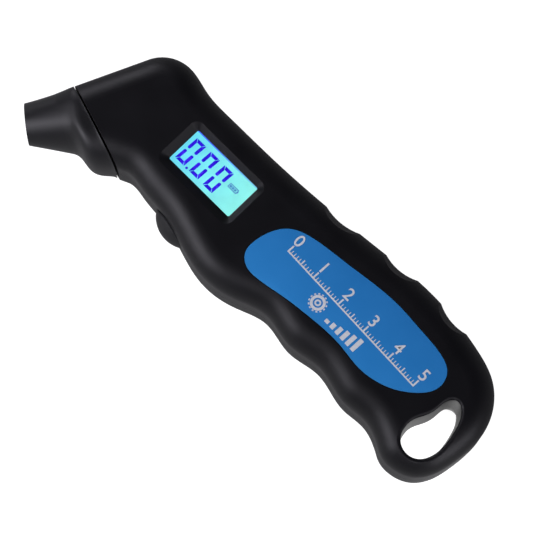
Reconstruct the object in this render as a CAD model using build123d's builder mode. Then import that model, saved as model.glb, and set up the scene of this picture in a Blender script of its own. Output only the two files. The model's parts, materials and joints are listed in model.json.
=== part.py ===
"""Digital tire pressure gauge with a pistol-shaped handle.

The gauge lies on its back. The origin is on the rear face, under the centre of the display.
+X runs along the handle to the lanyard hole, +Y to the thumb side, -Y to the finger side and the
button, and +Z out of the display. All sizes are in millimetres.
"""
from build123d import *
from math import cos, pi, radians, sin
import os

os.makedirs("parts", exist_ok=True)

# ---- Driving dimensions -------------------------------------------------------------------
THICKNESS = 27.0            # rear face to front face
MID = THICKNESS / 2         # height of the parting line between the two shells
EDGE_RADIUS = 7.5           # rounding of the handle, front and rear
WALL = 2.0                  # shell wall
PART_GAP = 0.12             # visible line between the shells

# Joint between the handle and the nozzle head, in plan
SEAM_TOP = (-46.2, -9.4)
SEAM_LOW = (-20.5, -17.3)
SEAM_GAP = 0.5              # groove between head and handle
SPINE_ANGLE = 66.1          # slope of the back edge above the seam
SPINE_LENGTH = 22.0
FLARE_ANGLE = 25.0          # slope of the finger edge at the seam

# Handle outline, clockwise from the top of the spine. Each stretch is tangent to the one
# before: an arc to its only point, or a curve through its points that ends at an angle.
OUTLINE = [
    ([(-26.7, 17.4)], None),
    ([(-18.5, 15.8), (-9.0, 15.3), (10.0, 15.5), (28.0, 16.5), (48.0, 18.4), (65.0, 19.65)], 0),
    ([(86.5, 17.1)], None),
    ([(94.0, 14.35), (100.3, 8.0), (103.0, -2.0)], -90),
    ([(101.8, -12.6)], None),
    ([(97.4, -20.1), (90.0, -22.5)], 180),
    ([(85.6, -21.3)], None),
    ([(77.5, -18.4), (70.0, -18.9), (58.5, -16.85), (48.0, -18.35), (38.0, -17.0), (29.0, -19.8),
      (22.0, -21.65)], 188),
    ([(15.0, -21.65)], None),
    ([(9.0, -20.3), (-2.0, -17.3), (-12.0, -16.3), (-18.75, -16.25)], 205),
]

# Thumb scallops: the two ends of each dent on the thumb edge
SCALLOPS = [((28.4, 16.4), (39.8, 17.5)), ((49.4, 18.5), (60.0, 19.3)), ((69.7, 19.4), (80.2, 18.35))]
SCALLOP_DEPTH = 0.95
SCALLOP_TURN = 28.0         # how far each dent follows the rounded edge, degrees

# Lanyard hole and label outlines
LANYARD_HOLE = [(86.6, -11.5), (87.3, -8.5), (88.7, -5.6), (89.3, -2.5), (89.9, 0.8), (92.1, 2.4),
                (94.8, 0.8), (96.7, -3.3), (97.6, -8.0), (97.2, -13.0), (95.2, -16.2),
                (91.6, -17.4), (88.2, -15.9)]
LANYARD_ROUNDING = 0.8
LANYARD_DRAFT = 0.5         # the hole is this much tighter at the parting line than in front
LANYARD_FLARE = 1.3         # and this much wider at the rear than in front
LABEL = [(21.6, -7.0), (22.6, -1.6), (26.1, 3.8), (32.5, 6.5), (43.2, 8.0), (52.9, 9.3),
         (62.0, 9.9), (71.5, 9.3), (79.6, 8.4), (84.6, 5.9), (85.8, 1.2), (82.6, -4.0),
         (77.0, -8.0), (71.5, -9.9), (66.0, -10.4), (60.0, -9.7), (53.8, -9.5), (46.3, -10.1),
         (38.3, -11.1), (30.5, -12.5), (25.0, -12.2), (22.3, -9.9)]
LABEL_DEPTH = 0.9
LABEL_GAP = 0.2
LABEL_SINK = 0.1            # face of the label below the handle's face

# Display
WINDOW = (23.4, 11.4)       # clear opening, X by Y
BEZEL = (27.8, 15.9)        # outer frame of the bevelled recess on the front face
BEZEL_CENTRE = (-0.2, -0.5)
BEZEL_CORNER = 2.4
LENS = (26.0, 13.8, 1.0)
PANEL = (26.4, 14.2, 2.1)
PANEL_LEDGE = 1.2           # bare strip of the lower glass
FRAME_OUTER = (29.6, 17.6)
FRAME_INNER = (26.8, 14.6)
STRIP_X = (-11.5, 11.5)     # connector between panel and board
STRIP_Y = (-6.9, -5.1)
GUIDE_X = (-10.6, 13.2)     # light guide behind the panel
GUIDE_Y = (-4.8, 7.1)
GUIDE_LIFT = 0.6
LAMP_X = (-12.9, -11.0)
LAMP_Y = (-2.5, 4.5)
LAMP_WIDTH = 2.8
LAMP_HEIGHT = 1.3
REST = 0.02                 # gap between pieces that lie on each other

# Nozzle head: centre line of the bore, measured inwards from the mouth
TIP_TOP = (-54.2, -22.0)
TIP_LOW = (-44.7, -29.4)
HEAD_INSET = 0.3            # step down from the handle to the head, front and rear
BORE_RADIUS = 4.1           # takes a 7.7 mm tire valve
BORE_LENGTH = 8.6
SEAL_RADIUS = 5.2
SEAL_THICKNESS = 2.3
CORE_RADIUS = 6.0
CORE_END = 14.5
PASSAGE_RADIUS = 3.4
PASSAGE_END = 18.5
PIN_RADIUS = 0.8
PIN_TIP = BORE_LENGTH + 0.15        # the valve squeezes the seal until the pin meets it
BARB_RADIUS = 1.08
BARB_START = 15.0
BARB_END = 20.0
NECK_SHIFT = 2.6            # neck centre, off the middle of the seam towards the spine
NECK_RADIUS = 7.2
NECK_BORE = 5.6
FLANGE_RADIUS = 8.3
FLANGE_START = WALL + 0.2
FLANGE_THICKNESS = 1.7

# Button, on an axis square to the finger edge
BUTTON_AT = (0.6, -17.8)
BUTTON_ANGLE = 259.0
BUTTON_RADIUS = 6.4
BUTTON_RIM = 0.5            # rim of the dome above the handle's side
BUTTON_DOME = 2.6
BUTTON_FIT = 0.1            # radial gap in the shell's hole
BOSS_DEPTH = 2.8            # inner face of the collar round the hole
BUTTON_TRAVEL = 0.5

# Electronics
BOARD_X = (-18.0, 43.5)
BOARD_Y = (-11.6, 12.2)
BOARD_Z = (17.1, 18.5)
BOARD_CORNER = 2.0
BOARD_SCREWS = [(20.0, 8.5), (39.5, -8.0)]
BOARD_SCREW_RADIUS = 0.85
BOARD_SCREW_TOP = 23.0
CHIP_AT = (25.0, 0.5)
CHIP_SIZE = 8.0
CHIP_HEIGHT = 1.5
CHIP_LEADS = 7              # on each side
LEAD_PITCH = 1.0
LEAD_THICKNESS = 0.35
# Small parts under the board: place in plan, length, width, height
SMALL_PARTS = [(14.5, -6, 3.2, 1.6, 1.1), (14.5, -1, 2.0, 1.2, 0.8), (14.5, 3, 2.0, 1.2, 0.8),
               (33, -6.5, 3.2, 2.6, 1.6), (34.5, 4.5, 2.0, 1.2, 0.8), (34.5, 8, 2.0, 1.2, 0.8),
               (28, -9, 2.0, 1.2, 0.8), (9, 9, 6.0, 2.4, 2.0)]
SENSOR_SIZE = (9.0, 9.0)
SENSOR_AT = (-10.5, 2.5)
SENSOR_LOW = 10.9
PORT_LENGTH = 5.0
AIRWAY_RADIUS = 0.55
HOSE_OUTER = 2.1
HOSE_BORE = 1.1
CLIP_WIDTH = 1.2
CLIP_THICKNESS = 0.7

# Button and switch, along the button's axis from the handle's side
CAP_FLANGE = (-3.9, -2.9)
CAP_FLANGE_REACH = 0.9
STEM_RADIUS = 1.6
STEM_END = -5.2
SWITCH_FACE = -6.3
SWITCH_BACK = -9.9
SWITCH_WIDTH = 7.0
PLUNGER_RADIUS = 1.75
PLUNGER_END = -7.2

# Battery compartment
CELL_AT = (57.0, 0.4)
CELL_RADIUS = 10.0
CELL_Z = (2.7, 5.9)
CELL_LID = 1.2              # rim left round the negative lid
CONTACT_THICKNESS = 0.3
LEAD_RADIUS = 0.45
WELL_RADIUS = 10.3
DOOR = (34.0, 22.6)
DOOR_Z = (0.4, 2.3)
DOOR_CORNER = 3.0
DOOR_GAP = 0.15
DOOR_CHAMFER = 0.4
TRAY_TOP = 7.9
TRAY_ROOF = 6.7
DOOR_SCREW_SPACING = 28.4
DOOR_SCREW = (0.8, 1.8)     # radius of shank and head

# Screws that join the shells
SHELL_SCREWS = [(-30.0, 9.0), (-22.5, -10.0), (80.0, 12.0), (80.0, -12.8)]
SHELL_HEAD_SEAT = 6.0
SHELL_SCREW = (1.2, 2.4)    # radius of shank and head
SHELL_SCREW_TOP = 21.0
HEAD_HEIGHT = 1.8

# ---- Reference planes ---------------------------------------------------------------------
seam_top = Vector(*SEAM_TOP, MID)
seam_low = Vector(*SEAM_LOW, MID)
seam_run = (seam_low - seam_top).normalized()
into_handle = Vector(-seam_run.Y, seam_run.X, 0)
seam = Plane(origin=(seam_top + seam_low) * 0.5, x_dir=seam_run, z_dir=into_handle)
neck = Plane(origin=seam.origin - seam_run * NECK_SHIFT, x_dir=seam_run, z_dir=into_handle)

tip_top = Vector(*TIP_TOP, MID)
tip_low = Vector(*TIP_LOW, MID)
tip_run = (tip_low - tip_top).normalized()
bore = Plane(origin=(tip_top + tip_low) * 0.5, x_dir=tip_run, z_dir=(-tip_run.Y, tip_run.X, 0))

button_out = Vector(cos(radians(BUTTON_ANGLE)), sin(radians(BUTTON_ANGLE)), 0)
button = Plane(origin=(*BUTTON_AT, MID), x_dir=(0, 0, 1), z_dir=button_out)

front_half = Plane.XY.offset(MID + PART_GAP / 2)
rear_half = Plane.XY.offset(MID - PART_GAP / 2)


def slope(angle):
    """Unit vector in plan at an angle from +X, in degrees."""
    return Vector(cos(radians(angle)), sin(radians(angle)), 0)


def flat_edges(part, skip_length):
    """Edges that lie level, except those of the given length."""
    level = part.edges().filter_by(Plane.XY)
    return level.filter_by(lambda edge: abs(edge.length - skip_length) > 0.05)


# ---- Handle body, before it is split into shells --------------------------------------------
spine_start = Vector(*SEAM_TOP, 0) - slope(SPINE_ANGLE) * 8
spine_end = Vector(*SEAM_TOP, 0) + slope(SPINE_ANGLE) * SPINE_LENGTH


def stretch_edge(start, direction, points, leaving):
    """One stretch of the outline, tangent to the one before."""
    if leaving is None:
        return Edge.make_tangent_arc(start, direction, points[-1])
    return Edge.make_spline([start, *points], tangents=[direction, slope(leaving)], scale=False)


def beside(edge, distance, stations):
    """Points at a distance to the right of a curve, at stations from 0 to 1 along it."""
    points = []
    for station in stations:
        along = edge % station
        points.append(edge @ station + Vector(along.Y, -along.X, 0) * distance)
    return points


def inset(edge):
    """The same stretch moved into the handle by the wall thickness."""
    if edge.geom_type == GeomType.CIRCLE:
        first, last = beside(edge, WALL, [0, 1])
        return Edge.make_tangent_arc(first, edge % 0, last)
    points = beside(edge, WALL, [i / 10 for i in range(11)])
    return Edge.make_spline(points, tangents=[edge % 0, edge % 1], scale=False)


def parallel_loop(points, distance, count):
    """Points of a closed outline moved inwards by a distance; the outline runs clockwise."""
    loop = Edge.make_spline([Vector(*point) for point in points], periodic=True)
    return beside(loop, distance, [i / count for i in range(count)])


grip = []
reached, heading = spine_end, slope(SPINE_ANGLE)
for stretch_points, stretch_end in OUTLINE:
    grip.append(stretch_edge(reached, heading, [Vector(*p) for p in stretch_points], stretch_end))
    reached, heading = grip[-1] @ 1, grip[-1] % 1
flare_start = reached
flare_end = flare_start - slope(FLARE_ANGLE) * 14
stub_length = (spine_start - flare_end).length

with BuildPart() as body:
    with BuildSketch() as plan:
        with BuildLine():
            Line(spine_start, spine_end)
            for stretch in grip:
                add(stretch)
            Line(flare_start, flare_end)
            Line(flare_end, spine_start)
        make_face()
    extrude(amount=THICKNESS)
    fillet(flat_edges(body, stub_length), EDGE_RADIUS)
    split(bisect_by=seam, keep=Keep.TOP)

inner_grip = [inset(stretch) for stretch in grip]
inner_start = inner_grip[0] @ 0 - slope(SPINE_ANGLE) * (SPINE_LENGTH + 8)
inner_end = inner_grip[-1] @ 1 - slope(FLARE_ANGLE) * 14

with BuildPart() as cavity:
    with BuildSketch(Plane.XY.offset(WALL)):
        with BuildLine():
            Line(inner_start, inner_grip[0] @ 0)
            for stretch in inner_grip:
                add(stretch)
            Line(inner_grip[-1] @ 1, inner_end)
            Line(inner_end, inner_start)
        make_face()
    extrude(amount=THICKNESS - 2 * WALL)
    fillet(flat_edges(cavity, (inner_end - inner_start).length), EDGE_RADIUS - WALL)
    split(bisect_by=seam.offset(WALL), keep=Keep.TOP)


def through(plane, radius, start, end):
    """A round cutter or post on a plane's axis, from one distance to another."""
    return plane.offset(start) * Cylinder(
        radius, end - start, align=(Align.CENTER, Align.CENTER, Align.MIN), mode=Mode.PRIVATE)


def post(x, y, radius, low, high):
    """An upright round cutter or post between two heights."""
    return through(Plane(origin=(x, y, 0)), radius, low, high)


def block(x, y, z):
    """A box given by its low and high limits on each axis."""
    corner = Align.MIN, Align.MIN, Align.MIN
    size = x[1] - x[0], y[1] - y[0], z[1] - z[0]
    return Pos(x[0], y[0], z[0]) * Box(*size, align=corner, mode=Mode.PRIVATE)


def cross_recess(x, y, low, high, reach, width):
    """The two slots of a cross-head recess."""
    return [block((x - reach, x + reach), (y - width, y + width), (low, high)),
            block((x - width, x + width), (y - reach, y + reach), (low, high))]


# ---- Cuts in the outside of the handle ------------------------------------------------------
def scallop_cutter(ends):
    """A shallow round-bottomed channel down the thumb edge that follows its roundings."""
    left, right = Vector(*ends[0], MID), Vector(*ends[1], MID)
    along = (right - left).normalized()
    inward = Vector(along.Y, -along.X, 0)
    half_chord = (right - left).length / 2
    radius = (half_chord ** 2 + SCALLOP_DEPTH ** 2) / (2 * SCALLOP_DEPTH)
    reach = 2.5
    middle = (left + right) * 0.5
    bend = EDGE_RADIUS - SCALLOP_DEPTH
    straight = MID - EDGE_RADIUS
    side = Plane(origin=middle + inward * SCALLOP_DEPTH, x_dir=inward, z_dir=along)
    with BuildPart(mode=Mode.PRIVATE) as cutter:
        with BuildLine(side) as track:
            Line((0, 0), (0, straight))
            JernArc((0, straight), (0, 1), bend, -SCALLOP_TURN)
            turned = radians(SCALLOP_TURN)
            corner = (bend * (1 - cos(turned)), straight + bend * sin(turned))
            Line(corner, (corner[0] + 9 * sin(turned), corner[1] + 9 * cos(turned)))
        wide = (radius ** 2 - (radius - SCALLOP_DEPTH - reach) ** 2) ** 0.5
        with BuildSketch(Plane(origin=side.origin, x_dir=along, z_dir=(0, 0, 1))):
            with BuildLine():
                scoop = ThreePointArc((-wide, SCALLOP_DEPTH + reach), (0, 0),
                                      (wide, SCALLOP_DEPTH + reach))
                Line(scoop @ 1, scoop @ 0)
            make_face()
        sweep(path=track.wires()[0])
        mirror(about=Plane.XY.offset(MID))
    return cutter.part


scallops = [scallop_cutter(ends) for ends in SCALLOPS]


def closed_curve(points):
    """Smooth closed outline through its points."""
    return Spline(*points, periodic=True)


hole_loop = Edge.make_spline([Vector(*point) for point in LANYARD_HOLE], periodic=True)


def hole_inset(height):
    """How far the lanyard hole's wall lies inside its front outline at a height."""
    if height > MID:
        return LANYARD_DRAFT * (THICKNESS - height) / (THICKNESS - MID)
    return LANYARD_DRAFT - (LANYARD_DRAFT + LANYARD_FLARE) * (MID - height) / MID


def on_hole_rim(edge):
    """Whether both ends of an edge lie on the lanyard hole's wall, on the handle's outside."""
    return all(abs(hole_loop.distance_to(Vector(end.X, end.Y, 0)) - abs(hole_inset(end.Z))) < 0.15
               and abs(end.Z - MID) > 1 for end in (edge @ 0, edge @ 1))


with BuildPart() as handle:
    add(body.part)
    for scallop in scallops:
        add(scallop, mode=Mode.SUBTRACT)
    # Lanyard hole, tightest at the parting line
    for outside in (0, THICKNESS):
        for height in (MID, outside):
            with BuildSketch(Plane.XY.offset(height)):
                with BuildLine():
                    closed_curve(parallel_loop(LANYARD_HOLE, hole_inset(height), 26))
                make_face()
        loft(mode=Mode.SUBTRACT)
    fillet(handle.edges().filter_by(on_hole_rim), LANYARD_ROUNDING)
    # Bevelled recess and clear opening of the display
    with BuildSketch(Plane.XY.offset(THICKNESS)):
        with Locations(BEZEL_CENTRE):
            RectangleRounded(*BEZEL, BEZEL_CORNER)
    with BuildSketch(Plane.XY.offset(THICKNESS - WALL)):
        RectangleRounded(*WINDOW, 0.5)
    loft(mode=Mode.SUBTRACT)
    with BuildSketch(Plane.XY.offset(THICKNESS - WALL)):
        RectangleRounded(*WINDOW, 0.5)
    extrude(amount=-1, mode=Mode.SUBTRACT)
    # Recess for the label
    with BuildSketch(Plane.XY.offset(THICKNESS - LABEL_DEPTH)):
        with BuildLine():
            closed_curve(LABEL)
        make_face()
    extrude(amount=2, mode=Mode.SUBTRACT)

# Space inside the shells, less the tube round the lanyard hole
with BuildPart() as space:
    add(cavity.part)
    with BuildSketch():
        with BuildLine():
            closed_curve(parallel_loop(LANYARD_HOLE, -WALL, 16))
        make_face()
    extrude(amount=THICKNESS, mode=Mode.SUBTRACT)

# Cutters and posts that both shells share
neck_hole = through(neck, NECK_RADIUS + 0.1, -1, FLANGE_START)
button_hole = through(button, BUTTON_RADIUS + BUTTON_FIT, -BOSS_DEPTH - 1, 4)
button_collar = through(button, BUTTON_RADIUS + 2.1, -BOSS_DEPTH, -WALL / 2)
shank_holes = [post(x, y, 1.25, SHELL_HEAD_SEAT, 22) for x, y in SHELL_SCREWS]

# ---- Front shell --------------------------------------------------------------------------
with BuildPart() as front_shell:
    add(handle.part)
    add(space.part, mode=Mode.SUBTRACT)
    add(button_collar)
    for x, y in SHELL_SCREWS:
        add(post(x, y, 3.2, MID, THICKNESS - WALL + 0.2))
    for x, y in BOARD_SCREWS:
        add(post(x, y, 2.6, BOARD_Z[1], THICKNESS - WALL + 0.1))
    add([neck_hole, button_hole, *shank_holes], mode=Mode.SUBTRACT)
    for x, y in BOARD_SCREWS:
        add(post(x, y, 0.9, BOARD_Z[1] - 1, 23.5), mode=Mode.SUBTRACT)
    split(bisect_by=front_half, keep=Keep.TOP)
front_shell.part.label = "front_shell"
export_step(front_shell.part, "parts/front_shell.step")

# ---- Rear shell with the battery tray -------------------------------------------------------
cell_x, cell_y = CELL_AT
door_screws = [(cell_x - DOOR_SCREW_SPACING / 2, cell_y), (cell_x + DOOR_SCREW_SPACING / 2, cell_y)]

# The screw posts are left out of the rear space, so that they end at the handle's outside
with BuildPart() as rear_space:
    add(space.part)
    for x, y in SHELL_SCREWS:
        add(post(x, y, 4.0, 0, MID + 1), mode=Mode.SUBTRACT)

with BuildPart() as rear_shell:
    add(handle.part)
    add(rear_space.part, mode=Mode.SUBTRACT)
    add(button_collar)
    # Thick pad round the door, wall of the cell's well and posts for the door screws
    with BuildSketch(Plane.XY.offset(WALL / 2)):
        with Locations(CELL_AT):
            RectangleRounded(DOOR[0] + 4, DOOR[1] + 4, 4.5)
    extrude(amount=3.4)
    add(post(*CELL_AT, WELL_RADIUS + 2, WALL / 2, TRAY_TOP))
    for x, y in door_screws:
        add(post(x, y, 2.6, WALL / 2, TRAY_TOP))
    # Recess for the door, well for the cell and slots for the contacts
    with BuildSketch():
        with Locations(CELL_AT):
            RectangleRounded(DOOR[0] + 2 * DOOR_GAP, DOOR[1] + 2 * DOOR_GAP, 3)
    extrude(amount=DOOR_Z[1] + 0.05, mode=Mode.SUBTRACT)
    add(post(*CELL_AT, WELL_RADIUS, 1, TRAY_ROOF), mode=Mode.SUBTRACT)
    contact_slot = block((cell_x + 9.9, cell_x + 10.9), (cell_y - 3.3, cell_y + 3.3), (2.3, 8.5))
    spring_slot = block((cell_x - 1.6, cell_x + 1.6), (cell_y - 0.6, cell_y + 0.6), (6, 8.5))
    add([contact_slot, spring_slot], mode=Mode.SUBTRACT)
    for x, y in door_screws:
        add(post(x, y, 0.85, 1, 7.2), mode=Mode.SUBTRACT)
    add([neck_hole, button_hole, *shank_holes], mode=Mode.SUBTRACT)
    for x, y in SHELL_SCREWS:
        add(post(x, y, 2.6, -1, SHELL_HEAD_SEAT), mode=Mode.SUBTRACT)
    split(bisect_by=rear_half, keep=Keep.BOTTOM)
rear_shell.part.label = "rear_shell"
export_step(rear_shell.part, "parts/rear_shell.step")

# ---- Nozzle head --------------------------------------------------------------------------
# Rings of the head from the mouth to the seam: how far along the spine side, the point on the
# finger side, the half height, and how square the spine and finger halves are (2 is round)
SHOULDER_RING = (0.6, (-34.9, -22.4), 10.2, 2.8, 2.0)
CONE_RINGS = [(0.0, TIP_LOW, 6.0, 2.0, 2.0), SHOULDER_RING]
FLARE_RINGS = [
    SHOULDER_RING,
    (0.68, (-33.6, -21.6), 10.75, 3.1, 2.05),
    (0.8, (-31.2, -21.35), 11.6, 3.6, 2.15),
    (0.9, (-27.9, -21.7), 12.4, 4.2, 2.4),
    (0.96, (-24.4, -20.2), 12.85, 4.6, 2.7),
    (1.0, (-21.27, -17.68), MID - HEAD_INSET, 5.0, 3.0),
]
RING_POINTS = 24
ARRIVE = BORE_LENGTH + SEAL_THICKNESS       # where the core's flange sits

head_top = seam_top - into_handle * SEAM_GAP


def ring_points(half_width, half_height, square_top, square_low):
    """Points of one closed ring, centred on its own plane."""
    points = []
    for step in range(RING_POINTS):
        turn = 2 * pi * step / RING_POINTS
        square = square_low if cos(turn) > 0 else square_top
        reach = (abs(cos(turn)) ** square + abs(sin(turn)) ** square) ** (-1 / square)
        points.append((half_width * reach * cos(turn), half_height * reach * sin(turn)))
    return points


with BuildPart() as nozzle_head:
    for rings in (CONE_RINGS, FLARE_RINGS):
        for travel, low_point, half_height, square_top, square_low in rings:
            spine_side = tip_top + (head_top - tip_top) * travel
            chord = Vector(*low_point, MID) - spine_side
            across = Plane(origin=spine_side + chord * 0.5, x_dir=chord,
                           z_dir=chord.cross(Vector(0, 0, 1)))
            with BuildSketch(across):
                with BuildLine():
                    closed_curve(ring_points(chord.length / 2, half_height, square_top,
                                             square_low))
                make_face()
        loft(ruled=rings is CONE_RINGS)
    add(through(neck, NECK_RADIUS, -SEAM_GAP - 0.5, FLANGE_START + 0.1))
    add(through(neck, FLANGE_RADIUS, FLANGE_START, FLANGE_START + FLANGE_THICKNESS))
    add(through(bore, BORE_RADIUS, -1, BORE_LENGTH), mode=Mode.SUBTRACT)
    add(through(bore, SEAL_RADIUS, BORE_LENGTH, ARRIVE), mode=Mode.SUBTRACT)
    add(through(bore, CORE_RADIUS, ARRIVE, CORE_END), mode=Mode.SUBTRACT)
    add(through(bore, PASSAGE_RADIUS, CORE_END - 0.1, PASSAGE_END), mode=Mode.SUBTRACT)
    add(through(neck, NECK_BORE, -7, FLANGE_START + FLANGE_THICKNESS + 1), mode=Mode.SUBTRACT)
nozzle_head.part.label = "nozzle_head"
export_step(nozzle_head.part, "parts/nozzle_head.step")

# ---- Valve seal, brass core, its ring seal and its threaded ring ------------------------------
with BuildPart() as nozzle_seal:
    with BuildSketch(bore.offset(BORE_LENGTH + 0.02)):
        Circle(SEAL_RADIUS - 0.05)
        Circle(2.2, mode=Mode.SUBTRACT)
    extrude(amount=SEAL_THICKNESS - 0.06)
nozzle_seal.part.label = "nozzle_seal"
export_step(nozzle_seal.part, "parts/nozzle_seal.step")

CORE_FLANGE = 2.2
RING_GROOVE = (0.5, 1.7)
with BuildPart() as valve_core_body:
    with BuildSketch(bore.offset(ARRIVE)):
        Circle(CORE_RADIUS - 0.06)
    extrude(amount=CORE_FLANGE)
    with BuildSketch(bore.offset(ARRIVE + RING_GROOVE[0])):
        Circle(CORE_RADIUS)
        Circle(CORE_RADIUS - 1.1, mode=Mode.SUBTRACT)
    extrude(amount=RING_GROOVE[1] - RING_GROOVE[0], mode=Mode.SUBTRACT)
    with BuildSketch(bore.offset(ARRIVE + CORE_FLANGE)):
        RegularPolygon(3.1, 6)
    extrude(amount=BARB_START - ARRIVE - CORE_FLANGE)
    add(through(bore, BARB_RADIUS, BARB_START - 0.1, BARB_END))
    add(through(bore, AIRWAY_RADIUS, ARRIVE + 1.1, BARB_END + 1), mode=Mode.SUBTRACT)
    add(through(bore, 1.9, ARRIVE + 1.1, ARRIVE + 1.6), mode=Mode.SUBTRACT)
    with BuildSketch(bore.offset(ARRIVE)):
        with PolarLocations(1.45, 4):
            Circle(0.35)
    extrude(amount=1.2, mode=Mode.SUBTRACT)
    add(through(bore, PIN_RADIUS, PIN_TIP, ARRIVE + 0.1))
    fillet(valve_core_body.edges().filter_by(GeomType.CIRCLE).sort_by(
        lambda edge: (edge.center() - bore.origin).length)[0], 0.35)
valve_core_body.part.label = "valve_core_body"
export_step(valve_core_body.part, "parts/valve_core_body.step")

with BuildPart() as core_o_ring:
    groove_middle = ARRIVE + (RING_GROOVE[0] + RING_GROOVE[1]) / 2
    add(bore.offset(groove_middle) * Torus(CORE_RADIUS - 0.56, 0.5, mode=Mode.PRIVATE))
core_o_ring.part.label = "core_o_ring"
export_step(core_o_ring.part, "parts/core_o_ring.step")

with BuildPart() as core_nut:
    with BuildSketch(bore.offset(ARRIVE + CORE_FLANGE + 0.03)):
        Circle(CORE_RADIUS - 0.08)
        Circle(3.3, mode=Mode.SUBTRACT)
    extrude(amount=CORE_END - ARRIVE - CORE_FLANGE - 0.1)
    with BuildSketch(bore.offset(CORE_END - 0.6)):
        Rectangle(3 * CORE_RADIUS, 1.4)
    extrude(amount=1, mode=Mode.SUBTRACT)
core_nut.part.label = "core_nut"
export_step(core_nut.part, "parts/core_nut.step")

# ---- Label --------------------------------------------------------------------------------
with BuildPart() as label_plate:
    with BuildSketch(Plane.XY.offset(THICKNESS - LABEL_DEPTH + REST)):
        with BuildLine():
            closed_curve(parallel_loop(LABEL, LABEL_GAP, 40))
        make_face()
    extrude(amount=2)
    add(body.part.moved(Location((0, 0, -LABEL_SINK))), mode=Mode.INTERSECT)
label_plate.part.label = "label_plate"
export_step(label_plate.part, "parts/label_plate.step")

# ---- Display ------------------------------------------------------------------------------
LENS_Z = THICKNESS - WALL - REST - LENS[2]
PANEL_Z = LENS_Z - 0.03 - PANEL[2]

with BuildPart() as display_lens:
    with BuildSketch(Plane.XY.offset(LENS_Z)):
        RectangleRounded(*LENS[:2], 1)
    extrude(amount=LENS[2])
display_lens.part.label = "display_lens"
export_step(display_lens.part, "parts/display_lens.step")

with BuildPart() as lcd_panel:
    with BuildSketch(Plane.XY.offset(PANEL_Z)):
        Rectangle(*PANEL[:2])
    extrude(amount=PANEL[2])
    # The upper glass is shorter and leaves the contact ledge bare
    ledge = block((-PANEL[0], PANEL[0]), (-PANEL[1], -PANEL[1] / 2 + PANEL_LEDGE),
                  (PANEL_Z + PANEL[2] / 2, LENS_Z))
    add(ledge, mode=Mode.SUBTRACT)
lcd_panel.part.label = "lcd_panel"
export_step(lcd_panel.part, "parts/lcd_panel.step")

with BuildPart() as lcd_frame:
    with BuildSketch(Plane.XY.offset(BOARD_Z[1])):
        RectangleRounded(*FRAME_OUTER, 1.2)
        Rectangle(*FRAME_INNER, mode=Mode.SUBTRACT)
    extrude(amount=LENS_Z - 0.08 - BOARD_Z[1])
lcd_frame.part.label = "lcd_frame"
export_step(lcd_frame.part, "parts/lcd_frame.step")

with BuildPart() as zebra_strip:
    add(block(STRIP_X, STRIP_Y, (BOARD_Z[1], PANEL_Z)))
zebra_strip.part.label = "zebra_strip"
export_step(zebra_strip.part, "parts/zebra_strip.step")

with BuildPart() as backlight_diffuser:
    add(block(GUIDE_X, GUIDE_Y, (BOARD_Z[1] + GUIDE_LIFT, PANEL_Z - 0.05)))
    # Foot that stands on the board
    add(block((9.0, 12.0), (-3.0, 5.0), (BOARD_Z[1], BOARD_Z[1] + GUIDE_LIFT + 0.1)))
backlight_diffuser.part.label = "backlight_diffuser"
export_step(backlight_diffuser.part, "parts/backlight_diffuser.step")

with BuildPart() as backlight_leds:
    for y in LAMP_Y:
        add(block(LAMP_X, (y - LAMP_WIDTH / 2, y + LAMP_WIDTH / 2),
                  (BOARD_Z[1], BOARD_Z[1] + LAMP_HEIGHT)))
backlight_leds.part.label = "backlight_leds"
export_step(backlight_leds.part, "parts/backlight_leds.step")

# ---- Circuit board and its parts ------------------------------------------------------------
board_middle = (sum(BOARD_X) / 2, sum(BOARD_Y) / 2)
with BuildPart() as circuit_board:
    with BuildSketch(Plane.XY.offset(BOARD_Z[0])):
        with Locations(board_middle):
            RectangleRounded(BOARD_X[1] - BOARD_X[0], BOARD_Y[1] - BOARD_Y[0], BOARD_CORNER)
        with Locations(*BOARD_SCREWS):
            Circle(BOARD_SCREW_RADIUS + 0.25, mode=Mode.SUBTRACT)
    extrude(amount=BOARD_Z[1] - BOARD_Z[0])
circuit_board.part.label = "circuit_board"
export_step(circuit_board.part, "parts/circuit_board.step")

with BuildPart() as controller_chip:
    with BuildSketch(Plane((*CHIP_AT, BOARD_Z[0] - CHIP_HEIGHT))):
        Rectangle(CHIP_SIZE, CHIP_SIZE)
    extrude(amount=CHIP_HEIGHT - 0.2)
    chamfer(controller_chip.edges().group_by(Axis.Z)[0], 0.3)
    for turn in (0, 90, 180, 270):
        with BuildSketch(Plane((*CHIP_AT, BOARD_Z[0] - LEAD_THICKNESS))):
            with PolarLocations(CHIP_SIZE / 2 + 0.6, 1, start_angle=turn):
                with GridLocations(0, LEAD_PITCH, 1, CHIP_LEADS):
                    Rectangle(1.6, 0.4)
        extrude(amount=LEAD_THICKNESS)
controller_chip.part.label = "controller_chip"
export_step(controller_chip.part, "parts/controller_chip.step")

with BuildPart() as smd_parts:
    for x, y, long, wide, tall in SMALL_PARTS:
        add(block((x - long / 2, x + long / 2), (y - wide / 2, y + wide / 2),
                  (BOARD_Z[0] - tall, BOARD_Z[0])))
smd_parts.part.label = "smd_parts"
export_step(smd_parts.part, "parts/smd_parts.step")

with BuildPart() as board_screws:
    head_low = BOARD_Z[0] - 1.2
    for x, y in BOARD_SCREWS:
        add(post(x, y, BOARD_SCREW_RADIUS, BOARD_Z[0] - 0.1, BOARD_SCREW_TOP))
        add(post(x, y, 2 * BOARD_SCREW_RADIUS, head_low, BOARD_Z[0]))
        add(cross_recess(x, y, head_low - 1, head_low + 0.5, 1.2, 0.25), mode=Mode.SUBTRACT)
board_screws.part.label = "board_screws"
export_step(board_screws.part, "parts/board_screws.step")

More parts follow.
